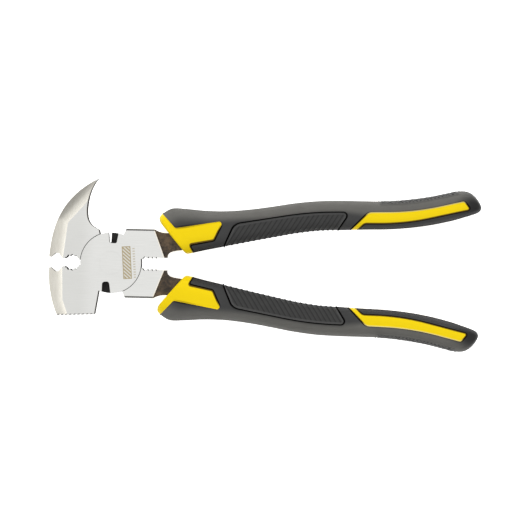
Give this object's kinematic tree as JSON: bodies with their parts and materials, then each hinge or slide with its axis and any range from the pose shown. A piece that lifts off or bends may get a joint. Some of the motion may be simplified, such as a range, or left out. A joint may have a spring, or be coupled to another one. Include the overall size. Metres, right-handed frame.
{
  "type": "fencing pliers",
  "caption": "Fencing pliers with a hammer face, staple claw, wire cutting notches and two moulded grips, turning on one flush rivet.",
  "frame": {"origin": "on the pivot rivet's axis, at the ground back face of the head", "axes": "+X along the centre line towards the handles' tails, +Y towards the hammer half's handle, +Z along the rivet towards the front face"},
  "size_m": [0.265, 0.1013, 0.021],
  "materials": {
    "ground_steel": "satin ground faces, black oxide on the neck and lap faces",
    "rivet_steel": "ground flush with the head",
    "yellow_core": "satin moulded",
    "grey_overmould": "soft matt",
    "black_pad": "ribbed matt",
    "palm_texture": "cross-cut matt"
  },
  "bodies": {
    "claw_side": {"claw_half": "ground_steel", "pivot_rivet": "rivet_steel", "lower_grip_core": "yellow_core", "lower_grip_body": "grey_overmould", "lower_finger_pad": "black_pad", "lower_palm_strip": "palm_texture"},
    "hammer_side": {"hammer_half": "ground_steel", "upper_grip_core": "yellow_core", "upper_grip_body": "grey_overmould", "upper_finger_pad": "black_pad", "upper_palm_strip": "palm_texture"}
  },
  "joints": [
    {"name": "pivot", "type": "hinge", "parent": "claw_side", "child": "hammer_side", "pos_m": [0, 0, 0.0075], "axis": [0, 0, 1], "range_deg": [-9.5, 40]}
  ]
}
